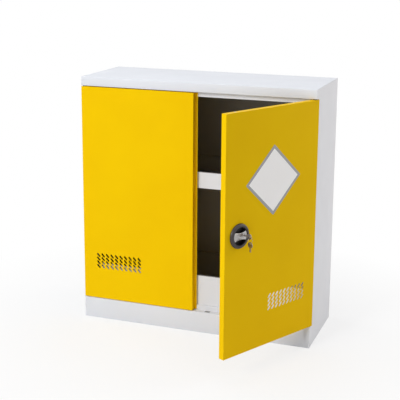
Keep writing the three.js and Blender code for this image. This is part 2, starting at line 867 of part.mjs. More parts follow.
function cylinderPlug() {
  const keywayX = keyThickness / 2 + seam;
  const keywayZ = bladeHeight / 2 + seam;
  const studEnd = gripBack + 2 * seam + camThickness;
  const keywayEnd = cylinderFace + bladeLength - bladeShown + seam;
  return cut(
    joined(
      rod(plugRadius, cylinderFace, gripBack, cylinderX, handleZ),
      rod(plugStudRadius, gripBack - overrun, studEnd, cylinderX, handleZ),
    ),
    block(cylinderX - keywayX, cylinderX + keywayX, cylinderFace - overrun, keywayEnd,
      handleZ - keywayZ, handleZ + keywayZ),
  );
}

function lockCam() {
  const y0 = gripBack + seam;
  return cut(
    joined(
      rod(camWidth / 2, y0, y0 + camThickness, cylinderX, handleZ),
      block(cylinderX - camWidth / 2, cylinderX + camWidth / 2, y0, y0 + camThickness,
        handleZ - camLength, handleZ),
    ),
    rod(plugStudRadius + seam, y0 - overrun, y0 + overrun, cylinderX, handleZ),
  );
}

// A key in its own frame: the blade's tip points along +y, and the hole's centre is the origin
function keyShape() {
  const bowCentre = bowRadius - keyHoleInset;
  const bladeHalf = bladeHeight / 2;
  const neckAngle = Math.asin(bladeHalf / bowRadius);
  const shoulder = bowCentre + bowRadius * Math.cos(neckAngle);
  const tip = bowCentre + bowRadius + bladeLength;
  const shape = new THREE.Shape();
  shape.absarc(bowCentre, 0, bowRadius, neckAngle, 2 * halfTurn - neckAngle, false);
  shape.lineTo(tip - bladeHalf, -bladeHalf);
  shape.lineTo(tip, 0);
  shape.lineTo(tip - bladeHalf, bladeHalf);
  for (let i = 0; i < bittingCount; i += 1) {
    const y = tip - bladeHalf - (i + 1) * bittingWidth * bittingPitchShare;
    shape.lineTo(y + bittingWidth / 2, bladeHalf);
    shape.lineTo(y, bladeHalf - bittingDepth);
    shape.lineTo(y - bittingWidth / 2, bladeHalf);
  }
  shape.lineTo(shoulder, bladeHalf);
  const hole = new THREE.Path();
  hole.absarc(0, 0, keyHoleRadius, 0, 2 * halfTurn, true);
  shape.holes.push(hole);
  return shape;
}

function keyBlank() {
  return alongX(keyShape(), -keyThickness / 2, keyThickness / 2);
}

const keyReach = 2 * bowRadius - keyHoleInset + bladeShown;
const keyHoleY = cylinderFace - keyReach;

function placeKeys(group) {
  const lockKey = place(group, 'lock_key', keyBlank(), nickel);
  lockKey.position.set(cylinderX, keyHoleY, handleZ);
  const ringTopZ = handleZ - ringDrop;
  const spareKeyDrop = keyHoleRadius - ringWire - seam;
  const ring = new THREE.TorusGeometry(ringRadius, ringWire, ringSides, ringSteps).rotateX(quarterTurn);
  const keyRing = place(group, 'key_ring', faceOut(ring), chrome);
  keyRing.position.set(cylinderX, keyHoleY, ringTopZ - ringRadius);
  const spareKey = place(group, 'spare_key', keyBlank(), nickel);
  spareKey.position.set(cylinderX, keyHoleY, ringTopZ - 2 * ringRadius - spareKeyDrop);
  spareKey.rotation.x = -quarterTurn;
}

// The whole cabinet
function placePair(name, geometry, material) {
  place(cabinet, name.replace('SIDE', 'right'), geometry, material);
  place(cabinet, name.replace('SIDE', 'left'), mirrored(geometry), material);
}

function placeBody() {
  place(cabinet, 'right_side', sidePanel(), lightGrey);
  place(cabinet, 'left_side', mirrored(sidePanel()), lightGrey);
  place(cabinet, 'back_panel', backPanel(), darkGrey);
  place(cabinet, 'top_panel', topPanel(), lightGrey);
  place(cabinet, 'plinth_front', plinthFront(), lightGrey);
  place(cabinet, 'floor_panel', floorPanel(), lightGrey);
  placePair('shelf_upright_SIDE_front', upright(uprightFrontY), zinc);
  placePair('shelf_upright_SIDE_rear', upright(uprightRearY), zinc);
  placePair('shelf_clip_SIDE_front', shelfClip(uprightFrontY), zinc);
  placePair('shelf_clip_SIDE_rear', shelfClip(uprightRearY), zinc);
  place(cabinet, 'shelf_tray', tray(shelfZ, shelfRim), lightGrey);
  place(cabinet, 'sump_tray', tray(floorZ + seam, sumpHeight), lightGrey);
  placePair('hinge_pin_SIDE_top', hingePin(soffitZ, -1), zinc);
  placePair('hinge_pin_SIDE_bottom', hingePin(plinthHeight, 1), zinc);
}

function placeLeftDoor() {
  place(leftDoor, 'left_door_panel', leftDoorPanel(), yellow);
  place(leftDoor, 'left_door_stiffener', mirrored(doorStiffener()), yellow);
  place(leftDoor, 'hinge_bush_left_top', mirrored(hingeBush(doorTop, -1)), nylon);
  place(leftDoor, 'hinge_bush_left_bottom', mirrored(hingeBush(doorBottom, 1)), nylon);
}

function placeRightDoor() {
  place(rightDoor, 'right_door_panel', rightDoorPanel(), yellow);
  place(rightDoor, 'right_door_stiffener', doorStiffener(), yellow);
  place(rightDoor, 'hinge_bush_right_top', hingeBush(doorTop, -1), nylon);
  place(rightDoor, 'hinge_bush_right_bottom', hingeBush(doorBottom, 1), nylon);
  place(rightDoor, 'handle_rosette', handleRosette(), blackMoulding);
  place(rightDoor, 'lock_case', lockCase(), zinc);
  place(rightDoor, 'lock_cover', lockCover(), zinc);
  place(rightDoor, 'lock_screw_upper', lockScrew(lockScrewOffset), zinc);
  place(rightDoor, 'lock_screw_lower', lockScrew(-lockScrewOffset), zinc);
  const guideTop = doorTop - sheet - seam;
  const guideLow = doorBottom + sheet + seam;
  place(rightDoor, 'rod_guide_top', rodGuide(guideTop - guideHeight, guideTop), nylon);
  place(rightDoor, 'rod_guide_bottom', rodGuide(guideLow, guideLow + guideHeight), nylon);
  place(rightDoor, 'top_rod', topRod(), zinc);
  place(rightDoor, 'bottom_rod', bottomRod(), zinc);
  place(rightDoor, 'handle_grip', handleGrip(), chrome);
  place(rightDoor, 'handle_spindle', handleSpindle(), zinc);
  place(rightDoor, 'spindle_screw', spindleScrew(), zinc);
  place(rightDoor, 'drive_pinion', drivePinion(), zinc);
  place(rightDoor, 'lock_cylinder', lockCylinder(), chrome);
  place(rightDoor, 'cylinder_plug', cylinderPlug(), chrome);
  place(rightDoor, 'lock_cam', lockCam(), zinc);
  placeKeys(rightDoor);
}

placeBody();
placeLeftDoor();
placeRightDoor();

export default root;
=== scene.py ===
# %% [markdown]
# # A low steel safety cabinet with a turning lock handle
#
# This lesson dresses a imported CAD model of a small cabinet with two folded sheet-steel doors.
# The CAD model gives every place and size in metres. Blender adds the camera, the light, the
# painted and plated finishes, and rounder versions of the pieces that a hand touches.

# %% Load the frame
import json
import math

import bmesh
import bpy
from mathutils import Matrix, Vector


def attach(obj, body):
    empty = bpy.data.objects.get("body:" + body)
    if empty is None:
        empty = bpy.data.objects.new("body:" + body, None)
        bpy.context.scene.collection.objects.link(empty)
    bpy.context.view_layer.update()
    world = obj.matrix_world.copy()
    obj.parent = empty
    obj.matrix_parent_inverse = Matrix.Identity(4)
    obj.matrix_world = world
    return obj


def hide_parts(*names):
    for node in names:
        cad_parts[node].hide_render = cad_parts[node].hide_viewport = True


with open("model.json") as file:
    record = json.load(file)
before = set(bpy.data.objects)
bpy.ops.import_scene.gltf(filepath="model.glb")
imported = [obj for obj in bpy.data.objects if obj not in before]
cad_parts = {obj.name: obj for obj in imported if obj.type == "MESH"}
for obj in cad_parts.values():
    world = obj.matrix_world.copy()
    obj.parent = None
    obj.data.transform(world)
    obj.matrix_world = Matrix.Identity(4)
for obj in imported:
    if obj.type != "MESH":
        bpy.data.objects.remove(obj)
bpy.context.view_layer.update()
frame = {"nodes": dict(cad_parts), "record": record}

# %% [markdown]
# ## Two frames of reference
#
# A door maker draws a door closed, in millimetres, with x from the cabinet's middle, y from the
# doors' front plane and z from the floor. The CAD model's frame is in metres, and its origin
# lies 12.5 mm behind that plane. One matrix turns closed-door millimetres into the model's
# metres, and a second one also swings the right door open about its hinge. Every new mesh is
# drawn in the easy frame and then moved by its matrix, so that its object stays at the origin.

# %% Places in the two frames
MM = 0.001
FRONT_SETBACK = 12.5
DOOR_OPEN = math.radians(63)
HINGE = Vector((465, 12, 0))
CABINET = Matrix.Scale(MM, 4) @ Matrix.Translation((0, -FRONT_SETBACK, 0))
RIGHT_DOOR = (CABINET @ Matrix.Translation(HINGE) @ Matrix.Rotation(DOOR_OPEN, 4, "Z")
              @ Matrix.Translation(-HINGE))
HANDLE = Vector((70, 0, 528))
KEY_OFFSET = Vector((20, 0, 0))
print("handle centre in metres:", tuple(round(v, 4) for v in RIGHT_DOOR @ HANDLE))

# %% [markdown]
# ## The camera
#
# The camera stands to the right of the cabinet, a little above its top, and looks slightly
# down. Its place and turn were solved from corners of the cabinet that can be named in both
# the photograph and the model. The small vertical shift holds the upright edges nearly
# parallel, as a view camera does.

# %% Camera
IMAGE_WIDTH = 400
FOCAL_PIXELS = 958.8
SHIFT_PIXELS = -40
SENSOR_MM = 36
CAMERA_PLACE = (1.24921, -3.38522, 1.4954)
CAMERA_TURN = (77.5535, -0.3939, 20.0244)
camera_data = bpy.data.cameras.new("view_camera")
camera_data.sensor_width = SENSOR_MM
camera_data.lens = FOCAL_PIXELS * SENSOR_MM / IMAGE_WIDTH
camera_data.shift_y = SHIFT_PIXELS / IMAGE_WIDTH
camera = bpy.data.objects.new("view_camera", camera_data)
camera.location = CAMERA_PLACE
camera.rotation_euler = [math.radians(angle) for angle in CAMERA_TURN]
bpy.context.scene.collection.objects.link(camera)
bpy.context.scene.camera = camera
print("lens in millimetres:", round(camera_data.lens, 1))

# %% [markdown]
# ## Helpers for finishes
#
# A colour on a paint card is an sRGB hex value, but Blender's shaders add light linearly, so
# one function turns the hex value into linear numbers. A second small function adds any node
# with its settings, and links an input when it is given another node's socket. Everything is
# driven by Object coordinates, which are metres on these pieces, so each pattern keeps its
# real size and stays put when the piece is exported.

# %% Helpers for finishes
def linear(hex_colour):
    """A paint card's sRGB hex value as linear red, green, blue and alpha."""
    channels = [int(hex_colour[i:i + 2], 16) / 255 for i in (1, 3, 5)]
    bent = [c / 12.92 if c <= 0.04045 else ((c + 0.055) / 1.055) ** 2.4 for c in channels]
    return (*bent, 1)


def add_node(tree, kind, settings=None, inputs=None):
    """Adds a node; an input is a plain value or another node's output socket."""
    node = tree.nodes.new(kind)
    for name, value in (settings or {}).items():
        setattr(node, name, value)
    for name, value in (inputs or {}).items():
        if isinstance(value, bpy.types.NodeSocket):
            tree.links.new(value, node.inputs[name])
        else:
            node.inputs[name].default_value = value
    return node


def new_finish(name):
    """An empty material with its node tree and its Object coordinates."""
    finish = bpy.data.materials.new(name)
    finish.use_nodes = True
    finish.node_tree.nodes.clear()
    coordinates = add_node(finish.node_tree, "ShaderNodeTexCoord")
    return finish, finish.node_tree, coordinates.outputs["Object"]


FINISH = {}
print("helpers ready")

# %% [markdown]
# ## Powder coat
#
# The body and doors are sheet steel with polyester powder baked onto it. The powder flows
# while it is hot but never quite levels, which leaves orange peel: soft dimples one or two
# millimetres apart. At this picture's size a pixel covers about four millimetres, so the
# dimples are drawn several times coarser than the real ones, or they wouldn't show at all.
# A much wider and fainter pattern varies the paint's shade, as its thickness does, and a third
# one varies its gloss. All paint on the cabinet shares these patterns, so one helper draws them.

# %% Powder coat patterns
PEEL_MM = 7
PEEL_RELIEF_MM, PEEL_STRENGTH = 0.05, 0.35
FILM_MM, GLOSS_MM = 260, 65
FINE_DETAIL = 3.0
NOISE_LOW, NOISE_HIGH = 0.3, 0.7


def coat_patterns(tree, place, least_rough, most_rough):
    """Film thickness from 0 to 1, an uneven gloss, and the normal of the orange peel."""
    film = add_node(tree, "ShaderNodeTexNoise", inputs={
        "Vector": place, "Scale": 1 / (FILM_MM * MM), "Detail": FINE_DETAIL})
    thickness = add_node(tree, "ShaderNodeMapRange", inputs={
        "Value": film.outputs["Fac"], "From Min": NOISE_LOW, "From Max": NOISE_HIGH})
    cloud = add_node(tree, "ShaderNodeTexNoise", inputs={
        "Vector": place, "Scale": 1 / (GLOSS_MM * MM)})
    gloss = add_node(tree, "ShaderNodeMapRange", inputs={
        "Value": cloud.outputs["Fac"], "From Min": NOISE_LOW, "From Max": NOISE_HIGH,
        "To Min": least_rough, "To Max": most_rough})
    peel = add_node(tree, "ShaderNodeTexNoise", inputs={
        "Vector": place, "Scale": 1 / (PEEL_MM * MM), "Detail": 1.0})
    dimples = add_node(tree, "ShaderNodeBump", inputs={
        "Height": peel.outputs["Fac"], "Distance": PEEL_RELIEF_MM * MM,
        "Strength": PEEL_STRENGTH})
    return thickness.outputs["Result"], gloss.outputs["Result"], dimples.outputs["Normal"]


print("orange peel is drawn", PEEL_MM, "mm wide")

# %% [markdown]
# ## The doors' yellow
#
# Polyester's IOR is about 1.5. The strong yellow of the doors hardly mirrors its surroundings,
# so its specular level is very low, and where the film is thin the shade is a little deeper.

# %% Door finish
POLYESTER_IOR = 1.5
DOOR_ROUGH = (0.36, 0.45)
DOOR_MIRROR = 0.03


def door_coat(name, colour, thin_colour):
    """Baked powder paint in one colour."""
    finish, tree, place = new_finish(name)
    thickness, gloss, dimples = coat_patterns(tree, place, *DOOR_ROUGH)
    shade = add_node(tree, "ShaderNodeMix", {"data_type": "RGBA"}, {
        "Factor": thickness, 6: linear(colour), 7: linear(thin_colour)})
    shader = add_node(tree, "ShaderNodeBsdfPrincipled", inputs={
        "Base Color": shade.outputs[2], "Roughness": gloss, "Normal": dimples,
        "IOR": POLYESTER_IOR, "Specular IOR Level": DOOR_MIRROR})
    add_node(tree, "ShaderNodeOutputMaterial", inputs={"Surface": shader.outputs["BSDF"]})
    return finish


FINISH["yellow_coat"] = door_coat("yellow_powder_coat", "#f4c902", "#f0c302")
print("door finish:", FINISH["yellow_coat"].name)

# %% [markdown]
# ## The body's paint, with painted shade inside
#
# The body's sheets are light grey outside and in front. Where they face the inside they take a
# darker, warmer grey, which is painted shade that makes the cabinet's inside look nearly black.
# One sheet carries both colours, so the material asks where each point lies. Inside a box whose
# walls run through the middle of the sheets the colour is the dark painted shade and the gloss
# is more matt, and elsewhere it is light. The box is in metres and reads Object coordinates.
# The back has a slot of its own in the record, and it takes the same finish.

# %% Inside or outside
INSIDE_X, INSIDE_FRONT, INSIDE_BACK, INSIDE_TOP = 0.4744, 0.0201, 0.3354, 0.9994


def faces_inside(tree, place):
    """1 where a point lies inside the cabinet's box, otherwise 0."""
    axes = add_node(tree, "ShaderNodeSeparateXYZ", inputs={"Vector": place})
    sideways = add_node(tree, "ShaderNodeMath", {"operation": "ABSOLUTE"}, {0: axes.outputs["X"]})
    within = None
    for where, operation, limit in (
            (sideways.outputs[0], "LESS_THAN", INSIDE_X),
            (axes.outputs["Y"], "GREATER_THAN", INSIDE_FRONT),
            (axes.outputs["Y"], "LESS_THAN", INSIDE_BACK),
            (axes.outputs["Z"], "LESS_THAN", INSIDE_TOP)):
        test = add_node(tree, "ShaderNodeMath", {"operation": operation}, {0: where, 1: limit})
        if within:
            test = add_node(tree, "ShaderNodeMath", {"operation": "MULTIPLY"}, {
                0: within.outputs[0], 1: test.outputs[0]})
        within = test
    return within.outputs[0]


print("inside height in metres:", INSIDE_TOP)

# %% Body finish
BODY_ROUGH = (0.38, 0.47)
BODY_MIRROR = 0.3
ROUGHER_INSIDE = 0.15


def body_coat(name, outer, outer_thin, inside_shade, inside_shade_thin):
    """Light grey powder coat outside; inside, a darker grey that is painted shade, and a more
    matt gloss.
    """
    finish, tree, place = new_finish(name)
    inside = faces_inside(tree, place)
    thickness, satin, dimples = coat_patterns(tree, place, *BODY_ROUGH)
    light = add_node(tree, "ShaderNodeMix", {"data_type": "RGBA"}, {
        "Factor": thickness, 6: linear(outer), 7: linear(outer_thin)})
    # The darker inside colour is painted shade, put on every face inside the body's box.
    painted_shade = add_node(tree, "ShaderNodeMix", {"data_type": "RGBA"}, {
        "Factor": thickness, 6: linear(inside_shade), 7: linear(inside_shade_thin)})
    shade = add_node(tree, "ShaderNodeMix", {"data_type": "RGBA"}, {
        "Factor": inside, 6: light.outputs[2], 7: painted_shade.outputs[2]})
    rougher = add_node(tree, "ShaderNodeMath", {"operation": "MULTIPLY_ADD"}, {
        0: inside, 1: ROUGHER_INSIDE, 2: satin})
    shader = add_node(tree, "ShaderNodeBsdfPrincipled", inputs={
        "Base Color": shade.outputs[2], "Roughness": rougher.outputs[0], "Normal": dimples,
        "IOR": POLYESTER_IOR, "Specular IOR Level": BODY_MIRROR})
    add_node(tree, "ShaderNodeOutputMaterial", inputs={"Surface": shader.outputs["BSDF"]})
    return finish


# Light grey outside; the two darker greys are painted shade on the inside faces.
for slot in ("light_grey_coat", "dark_inner_coat"):
    FINISH[slot] = body_coat(slot.replace("coat", "powder_coat"),
                             "#e0e3e9", "#dcdfe5", "#9a9897", "#93918f")
print("body finishes:", sorted(set(FINISH) - {"yellow_coat"}))

# %% [markdown]
# ## Plated metals
#
# The lock's hidden works are zinc-plated steel: bluish, with cloudy spangle where crystals
# meet. The grip is a satin chrome die casting, blasted before it was plated, so its gloss is
# soft and even. The keys are nickel silver, warmer and rubbed by use. All three are fully
# metallic, and a metal keeps the default IOR because its colour says the rest.

# %% Plated finishes
BLAST_MM = 1.2
BLAST_RELIEF_MM, BLAST_STRENGTH = 0.01, 0.2
RUBBED, DULLED = -0.05, 0.08


def plated(name, colour, tint, roughness, cloud_mm):
    """A metal with a cloudy tint and gloss over a finely blasted surface."""
    finish, tree, place = new_finish(name)
    cloud = add_node(tree, "ShaderNodeTexNoise", inputs={
        "Vector": place, "Scale": 1 / (cloud_mm * MM), "Detail": FINE_DETAIL})
    patch = add_node(tree, "ShaderNodeMapRange", inputs={
        "Value": cloud.outputs["Fac"], "From Min": NOISE_LOW, "From Max": NOISE_HIGH})
    shade = add_node(tree, "ShaderNodeMix", {"data_type": "RGBA"}, {
        "Factor": patch.outputs["Result"], 6: linear(colour), 7: linear(tint)})
    gloss = add_node(tree, "ShaderNodeMapRange", inputs={
        "Value": patch.outputs["Result"],
        "To Min": roughness + RUBBED, "To Max": roughness + DULLED})
    blast = add_node(tree, "ShaderNodeTexNoise", inputs={
        "Vector": place, "Scale": 1 / (BLAST_MM * MM)})
    pits = add_node(tree, "ShaderNodeBump", inputs={
        "Height": blast.outputs["Fac"], "Distance": BLAST_RELIEF_MM * MM,
        "Strength": BLAST_STRENGTH})
    shader = add_node(tree, "ShaderNodeBsdfPrincipled", inputs={
        "Base Color": shade.outputs[2], "Metallic": 1.0,
        "Roughness": gloss.outputs["Result"], "Normal": pits.outputs["Normal"]})
    add_node(tree, "ShaderNodeOutputMaterial", inputs={"Surface": shader.outputs["BSDF"]})
    return finish


FINISH["zinc_steel"] = plated("zinc_plated_steel", "#c3c7cc", "#aeb2b6", 0.34, 5)
FINISH["satin_chrome"] = plated("satin_chrome_casting", "#b4b1b0", "#a5a2a1", 0.24, 12)
FINISH["nickel_silver"] = plated("nickel_silver_stamping", "#aca29a", "#958a80", 0.3, 4)
print("plated metals:", sorted(set(FINISH) & {"zinc_steel", "satin_chrome", "nickel_silver"}))

# %% [markdown]
# ## Moulded plastics
#
# The rosette is glass-filled nylon with a satin gloss, moulded in a spark-eroded tool that
# gives it a fine even grain. Its bowl is a brownish black, and its rim is a lighter purplish
# charcoal, which is a painted highlight where the light catches it. The hinge bushes and rod
# guides are plain black nylon, duller, and the grommets in the sheets are plain grey. Nylon's IOR
# is about 1.53. The tool's grain scatters the bowl's reflections, so its specular level is low.

# %% Moulded finishes
TOOL_GRAIN_MM, GRAIN_STRENGTH = 0.9, 0.3
HANDLING_MM = 15
HANDLED, UNTOUCHED = -0.06, 0.08
NYLON_IOR = 1.53


def moulded(name, colour, worn_colour, roughness, relief_mm, mirror):
    """Moulded nylon: even tool grain and slightly uneven gloss from handling."""
    finish, tree, place = new_finish(name)
    wear = add_node(tree, "ShaderNodeTexNoise", inputs={
        "Vector": place, "Scale": 1 / (HANDLING_MM * MM), "Detail": FINE_DETAIL})
    shade = add_node(tree, "ShaderNodeMix", {"data_type": "RGBA"}, {
        "Factor": wear.outputs["Fac"], 6: linear(colour), 7: linear(worn_colour)})
    gloss = add_node(tree, "ShaderNodeMapRange", inputs={
        "Value": wear.outputs["Fac"],
        "To Min": roughness + HANDLED, "To Max": roughness + UNTOUCHED})
    grain = add_node(tree, "ShaderNodeTexNoise", inputs={
        "Vector": place, "Scale": 1 / (TOOL_GRAIN_MM * MM)})
    tool_marks = add_node(tree, "ShaderNodeBump", inputs={
        "Height": grain.outputs["Fac"], "Distance": relief_mm * MM,
        "Strength": GRAIN_STRENGTH})
    shader = add_node(tree, "ShaderNodeBsdfPrincipled", inputs={
        "Base Color": shade.outputs[2], "Roughness": gloss.outputs["Result"],
        "Normal": tool_marks.outputs["Normal"], "IOR": NYLON_IOR,
        "Specular IOR Level": mirror})
    add_node(tree, "ShaderNodeOutputMaterial", inputs={"Surface": shader.outputs["BSDF"]})
    return finish


FINISH["black_moulding"] = moulded(
    "black_glass_filled_nylon", "#1f1b1a", "#2a2523", 0.36, 0.02, 0.2)
# The rim's lighter charcoal is a painted highlight on the same black moulding.
FINISH["charcoal_moulding"] = moulded(
    "rim_highlight_glass_filled_nylon", "#352f31", "#3d3738", 0.34, 0.02, 0.38)
FINISH["black_nylon"] = moulded("black_nylon", "#17171a", "#1f1f22", 0.5, 0.03, 0.5)
FINISH["grey_nylon"] = moulded("grey_nylon", "#a4a6aa", "#9c9ea2", 0.45, 0.03, 0.4)
print("finishes:", sorted(FINISH))

# %% [markdown]
# ## Dressing the CAD nodes
#
# The folded sheets already have their real bends, so they stay. Each takes the finish of its
# slot in the record. A CAD mesh is loose triangles, so a bend would show its facets. A
# Geometry Nodes modifier merges the triangles as they are drawn, and shades the surface
# smoothly wherever two faces meet at less than 40 degrees. The CAD mesh itself isn't touched.

# %% Smooth bends
SMOOTH_ANGLE = math.radians(40)
MERGE_DISTANCE = 0.00002


def smooth_bends():
    """A geometry node group that merges loose triangles and smooths shallow edges."""
    group = bpy.data.node_groups.new("smooth_bends", "GeometryNodeTree")
    for side in ("INPUT", "OUTPUT"):
        group.interface.new_socket("Geometry", in_out=side, socket_type="NodeSocketGeometry")
    entry = add_node(group, "NodeGroupInput")
    merged = add_node(group, "GeometryNodeMergeByDistance", inputs={
        "Geometry": entry.outputs[0], "Distance": MERGE_DISTANCE})
    faces = add_node(group, "GeometryNodeSetShadeSmooth", {"domain": "FACE"}, {
        "Geometry": merged.outputs[0], "Shade Smooth": True})
    angle = add_node(group, "GeometryNodeInputMeshEdgeAngle")
    shallow = add_node(group, "FunctionNodeCompare", {"operation": "LESS_THAN"}, {
        "A": angle.outputs["Unsigned Angle"], "B": SMOOTH_ANGLE})
    edges = add_node(group, "GeometryNodeSetShadeSmooth", {"domain": "EDGE"}, {
        "Geometry": faces.outputs[0], "Shade Smooth": shallow.outputs[0]})
    add_node(group, "NodeGroupOutput", inputs={"Geometry": edges.outputs[0]})
    return group


bends = smooth_bends()
print("modifier nodes:", len(bends.nodes))

# %% Finishes on the CAD nodes
for part in frame["record"]["subparts"]:
    node = frame["nodes"][part["node"]]
    for holder in node.material_slots:
        holder.link = "OBJECT"
        holder.material = FINISH[part["material_slot"]]
    node.modifiers.new("smooth_bends", "NODES").node_group = bends
print("CAD nodes dressed:", len(frame["nodes"]))

# %% [markdown]
# ## Helpers for new pieces
#
# A turned piece starts as a profile of a few points, which is spun round its axis. Other pieces
# start as blocks and discs that are joined or cut by booleans, which is how a die maker thinks
# of them. Each helper gives back a bmesh in millimetres, so that the next one can go on with it.

# %% Turning
POLE_MERGE = 0.0005


def mesh_of(bm, name):
    """Writes a bmesh to a new mesh and frees it."""
    mesh = bpy.data.meshes.new(name)
    bm.to_mesh(mesh)
    bm.free()
    return mesh


def turned(profile, steps, round_mm=0.0, segments=4):
    """Spins (radius, y) points round the y axis; the corners are rounded first."""
    bm = bmesh.new()
    line = [bm.verts.new((radius, y, 0)) for radius, y in profile]
    for first, second in zip(line, line[1:]):
        bm.edges.new((first, second))
    if round_mm:
        corners = [v for v in bm.verts if len(v.link_edges) == 2]
        bmesh.ops.bevel(bm, geom=corners, offset=round_mm, segments=segments, profile=0.5,
                        affect="VERTICES", clamp_overlap=True, material=-1)
    bmesh.ops.spin(bm, geom=bm.verts[:] + bm.edges[:], cent=(0, 0, 0), axis=(0, 1, 0),
                   angle=2 * math.pi, steps=steps, use_merge=True)
    bmesh.ops.remove_doubles(bm, verts=bm.verts, dist=POLE_MERGE)
    bmesh.ops.recalc_face_normals(bm, faces=bm.faces)
    return bm


sample = turned([(1, 0), (2, 0), (2, 1), (1, 1), (1, 0)], 12)
print("a turned ring has", len(sample.faces), "faces")
sample.free()

# %% Discs, blocks, joins and cuts
CUT_MERGE = 0.001


def disc(radius, front, back, centre=(0, 0), steps=64):
    """A solid round rod along y from front to back."""
    bm = bmesh.new()
    turn = (Matrix.Translation((centre[0], (front + back) / 2, centre[1]))
            @ Matrix.Rotation(math.pi / 2, 4, "X"))
    bmesh.ops.create_cone(bm, cap_ends=True, segments=steps, radius1=radius, radius2=radius,
                          depth=back - front, matrix=turn)
    return bm


def block(low, high):
    """A solid block between two corners."""
    low, high = Vector(low), Vector(high)
    bm = bmesh.new()
    bmesh.ops.create_cube(bm, size=1, matrix=Matrix.Translation((low + high) / 2)
                          @ Matrix.Diagonal((*(high - low), 1)))
    return bm


def combined(bm, operation, *others):
    """Joins or cuts a solid with others by an exact boolean, then frees them."""
    for other in others:
        body = bpy.data.objects.new("work_body", mesh_of(bm, "work_body"))
        tool = bpy.data.objects.new("work_tool", mesh_of(other, "work_tool"))
        for work in (body, tool):
            bpy.context.scene.collection.objects.link(work)
        cutter = body.modifiers.new("cut", "BOOLEAN")
        cutter.object, cutter.operation, cutter.solver = tool, operation, "EXACT"
        depsgraph = bpy.context.evaluated_depsgraph_get()
        bm = bmesh.new()
        bm.from_mesh(body.evaluated_get(depsgraph).to_mesh())
        for work in (body, tool):
            mesh = work.data
            bpy.data.objects.remove(work)
            bpy.data.meshes.remove(mesh)
    bmesh.ops.remove_doubles(bm, verts=bm.verts, dist=CUT_MERGE)
    return bm


def eased(bm, width_mm, segments=3, sharper_than=40):
    """Rounds every edge that is sharper than the angle."""
    limit = math.radians(sharper_than)
    edges = [e for e in bm.edges if len(e.link_faces) == 2 and e.calc_face_angle() > limit]
    bmesh.ops.bevel(bm, geom=edges, offset=width_mm, segments=segments, profile=0.5,
                    affect="EDGES", clamp_overlap=True, material=-1)
    return bm


sample = eased(block((0, 0, 0), (9, 9, 9)), 1)
print("an eased cube has", len(sample.faces), "faces")
sample.free()

# %% [markdown]
# ## Finishing a piece
#
# When a piece is done, its mesh moves to the model's frame and its normals are made to point
# outwards. Smooth shading is right for a rounded edge and wrong for a crisp one, so only edges
# sharper than a limit are marked. The piece then takes its finishes, from the record's slot
# unless others are given, hangs from the empty of the body that carries it, and hides the CAD
# node that it stands for.

# %% Finishing
PIECE_SMOOTH = math.radians(35)


def finished(name, bm, place, body, slot, replaces=(), finishes=None):
    """Moves a mesh to its place, shades it, and gives it its finish and its body."""
    bmesh.ops.transform(bm, matrix=place, verts=bm.verts)
    bmesh.ops.recalc_face_normals(bm, faces=bm.faces)
    for face in bm.faces:
        face.smooth = True
    for edge in bm.edges:
        edge.smooth = len(edge.link_faces) == 2 and edge.calc_face_angle() < PIECE_SMOOTH
    piece = bpy.data.objects.new(name, mesh_of(bm, name))
    bpy.context.scene.collection.objects.link(piece)
    for finish in finishes or [FINISH[slot]]:
        piece.data.materials.append(finish)
    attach(piece, body)
    if replaces:
        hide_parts(*replaces)
    print(name, "faces:", len(piece.data.polygons))


AT_HANDLE = RIGHT_DOOR @ Matrix.Translation(HANDLE)
AT_KEY = AT_HANDLE @ Matrix.Translation(KEY_OFFSET)
print("lock cylinder in metres:", tuple(round(v, 4) for v in AT_KEY.translation))

# %% [markdown]
# ## The dished rosette
#
# The handle turns inside a shallow dish, so that nothing sticks out to catch a sleeve. The
# dish is a turned shape: a domed rim, a straight bowl wall and a flat floor with a hole for
# the handle's hub. Spinning a profile makes it round however close the camera comes. The dome
# is a quarter of an ellipse, so some part of it always mirrors the key lamp as a soft arc. Two
# notches in the bowl's wall take the lock's cam. They are cut with blocks, the second one a
# quarter turn from the first. The faces outside the bowl and before the door take the rim's
# lighter finish, which is a painted highlight.

# %% Rosette
ROSETTE_R, CREST_R, BOWL_R, HUB_R = 45, 39, 32.5, 9
CREST, BOWL_FLOOR, FLOOR_SHEET, BOWL_WALL = 8.5, 6, 3, 2
CREST_EASE, EASE_SHARE = 1.2, 0.3
DOME_STEPS, DISH_STEPS = 8, 96
SEAM, GRIP_BACK = 0.3, 3
CAM_LENGTH, CAM_WIDTH, NOTCH_DEPTH = 14, 7, 2.6
RIM_MARGIN = 0.2
dome = [(CREST_R + (ROSETTE_R - CREST_R) * math.sin(t), -SEAM - (CREST - SEAM) * math.cos(t))
        for t in (math.pi / 2 * i / DOME_STEPS for i in range(DOME_STEPS + 1))]
dish = turned([
    (HUB_R + SEAM, BOWL_FLOOR + FLOOR_SHEET), (HUB_R + SEAM, BOWL_FLOOR), (BOWL_R, BOWL_FLOOR),
    (BOWL_R, -CREST + CREST_EASE),
    (BOWL_R + CREST_EASE * EASE_SHARE, -CREST + CREST_EASE * EASE_SHARE),
    (BOWL_R + CREST_EASE, -CREST), *dome,
    (BOWL_R + BOWL_WALL, -SEAM), (BOWL_R + BOWL_WALL, BOWL_FLOOR + FLOOR_SHEET),
    (HUB_R + SEAM, BOWL_FLOOR + FLOOR_SHEET)], DISH_STEPS)
notch_low = (BOWL_R - CAM_LENGTH, GRIP_BACK, -CAM_LENGTH)
notch_high = (BOWL_R + NOTCH_DEPTH, BOWL_FLOOR - SEAM / 2, CAM_WIDTH / 2 + SEAM)
second = block(notch_low, notch_high)
bmesh.ops.transform(second, matrix=Matrix.Rotation(math.pi / 2, 4, "Y"), verts=second.verts)
dish = combined(dish, "DIFFERENCE", block(notch_low, notch_high), second)
